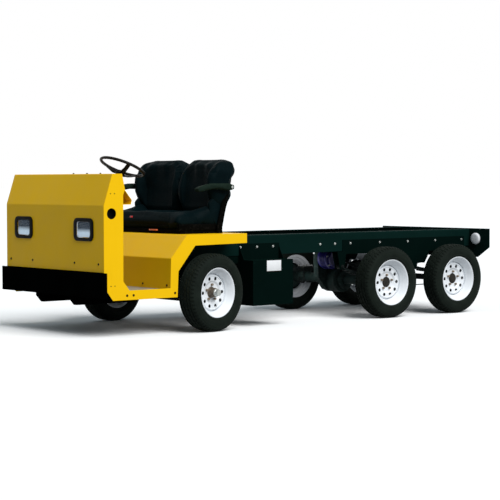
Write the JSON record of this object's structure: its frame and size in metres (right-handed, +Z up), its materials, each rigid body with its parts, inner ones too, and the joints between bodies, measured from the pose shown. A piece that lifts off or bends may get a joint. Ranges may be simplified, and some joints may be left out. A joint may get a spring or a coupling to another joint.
{
  "type": "three-axle burden carrier",
  "caption": "Electric burden carrier with a flat cargo bed on tandem axles, a two-seat open cab behind a square cowl, steered front wheels and a tilted steering wheel.",
  "frame": {"origin": "On the ground under the middle of the whole vehicle's length and width, with the front wheels steered 10 degrees to the left as stored.", "axes": "+X is the vehicle's front, +Y its left side and +Z is up."},
  "size_m": [3.924, 1.4876, 1.2719],
  "materials": {
    "yellow_paint": "gloss yellow enamel",
    "chassis_paint": "gloss black enamel with a green cast",
    "floor_paint": "worn grey floor paint",
    "wheel_paint": "white enamel",
    "tyre_rubber": "black rubber",
    "black_plastic": "black moulded plastic",
    "lamp_lens": "clear fluted lens",
    "tail_lens": "white lamp housing with a red lens behind",
    "seat_vinyl": "black vinyl",
    "arm_vinyl": "black vinyl over foam",
    "wheel_plastic": "black moulded plastic",
    "pedal_steel": "black paint on steel",
    "seat_steel": "dark brown-black paint",
    "axle_steel": "painted cast iron and steel",
    "spring_steel": "black paint on spring steel",
    "motor_paint": "dark blue enamel"
  },
  "bodies": {
    "chassis": {"battery_box_left": "chassis_paint", "battery_box_right": "chassis_paint", "bumper": "chassis_paint", "chassis_rail_left": "chassis_paint", "chassis_rail_right": "chassis_paint", "cowl": "yellow_paint", "dash": "yellow_paint", "deck_frame": "chassis_paint", "deck_plate": "chassis_paint", "drive_axle": "axle_steel", "drive_motor": "motor_paint", "floor": "floor_paint", "front_axle": "axle_steel", "front_frame": "chassis_paint", "front_spring_left": "spring_steel", "front_spring_right": "spring_steel", "hanger_plate_left": "chassis_paint", "hanger_plate_right": "chassis_paint", "headlamp_bezel_left": "black_plastic", "headlamp_bezel_right": "black_plastic", "headlamp_left": "lamp_lens", "headlamp_right": "lamp_lens", "pedals": "pedal_steel", "seat_back_left": "seat_vinyl", "seat_back_right": "seat_vinyl", "seat_cushion": "seat_vinyl", "seat_frame": "seat_steel", "seat_pedestal": "yellow_paint", "side_panel_left": "yellow_paint", "side_panel_right": "yellow_paint", "steering_column": "black_plastic", "tail_lamp_left": "tail_lens", "tail_lamp_right": "tail_lens", "tail_plate": "chassis_paint", "tandem_spring_left": "spring_steel", "tandem_spring_right": "spring_steel", "trailing_axle": "axle_steel"},
    "tie_rod": {"tie_rod": "axle_steel"},
    "steering_wheel": {"steering_wheel": "wheel_plastic"},
    "knuckle_left": {"knuckle_left": "axle_steel"},
    "knuckle_right": {"knuckle_right": "axle_steel"},
    "wheel_front_left": {"wheel_front_left": "wheel_paint", "tyre_front_left": "tyre_rubber"},
    "wheel_front_right": {"wheel_front_right": "wheel_paint", "tyre_front_right": "tyre_rubber"},
    "wheel_mid_left": {"wheel_mid_left": "wheel_paint", "tyre_mid_left": "tyre_rubber"},
    "wheel_mid_right": {"wheel_mid_right": "wheel_paint", "tyre_mid_right": "tyre_rubber"},
    "wheel_rear_left": {"wheel_rear_left": "wheel_paint", "tyre_rear_left": "tyre_rubber"},
    "wheel_rear_right": {"wheel_rear_right": "wheel_paint", "tyre_rear_right": "tyre_rubber"},
    "armrest_left": {"armrest_left": "arm_vinyl"},
    "armrest_right": {"armrest_right": "arm_vinyl"}
  },
  "joints": [
    {"name": "steer_left", "type": "hinge", "parent": "chassis", "child": "knuckle_left", "pos_m": [1.002, 0.558, 0.2835], "axis": [0, 0, 1], "range_deg": [-40, 20]},
    {"name": "steer_right", "type": "hinge", "parent": "chassis", "child": "knuckle_right", "pos_m": [1.002, -0.558, 0.2835], "axis": [0, 0, 1], "range_deg": [-40, 20]},
    {"name": "tie_rod_pin", "type": "hinge", "parent": "knuckle_left", "child": "tie_rod", "pos_m": [0.90844, 0.5415, 0.201], "axis": [0, 0, 1], "range_deg": [-20, 40]},
    {"name": "spin_front_left", "type": "hinge", "parent": "knuckle_left", "child": "wheel_front_left", "pos_m": [0.99054, 0.623, 0.2835], "axis": [-0.1736, 0.9848, 0], "continuous": true},
    {"name": "spin_front_right", "type": "hinge", "parent": "knuckle_right", "child": "wheel_front_right", "pos_m": [1.01346, -0.623, 0.2835], "axis": [-0.1736, 0.9848, 0], "continuous": true},
    {"name": "spin_mid_left", "type": "hinge", "parent": "chassis", "child": "wheel_mid_left", "pos_m": [-0.806, 0.584, 0.2835], "axis": [0, 1, 0], "continuous": true},
    {"name": "spin_mid_right", "type": "hinge", "parent": "chassis", "child": "wheel_mid_right", "pos_m": [-0.806, -0.584, 0.2835], "axis": [0, 1, 0], "continuous": true},
    {"name": "spin_rear_left", "type": "hinge", "parent": "chassis", "child": "wheel_rear_left", "pos_m": [-1.565, 0.584, 0.2835], "axis": [0, 1, 0], "continuous": true},
    {"name": "spin_rear_right", "type": "hinge", "parent": "chassis", "child": "wheel_rear_right", "pos_m": [-1.565, -0.584, 0.2835], "axis": [0, 1, 0], "continuous": true},
    {"name": "steering_turn", "type": "hinge", "parent": "chassis", "child": "steering_wheel", "pos_m": [1.519, 0.265, 1.195], "axis": [-0.4067, 0, 0.9135], "range_deg": [-480, 240]},
    {"name": "armrest_left_fold", "type": "hinge", "parent": "chassis", "child": "armrest_left", "pos_m": [0.74, 0.528, 1.046], "axis": [0, -1, 0], "range_deg": [0, 95]},
    {"name": "armrest_right_fold", "type": "hinge", "parent": "chassis", "child": "armrest_right", "pos_m": [0.74, -0.528, 1.046], "axis": [0, -1, 0], "range_deg": [0, 95]}
  ],
  "couplings": [
    {"joint": "steer_right", "follows": "steer_left", "ratio": 1},
    {"joint": "tie_rod_pin", "follows": "steer_left", "ratio": -1},
    {"joint": "steering_turn", "follows": "steer_left", "ratio": 12}
  ]
}
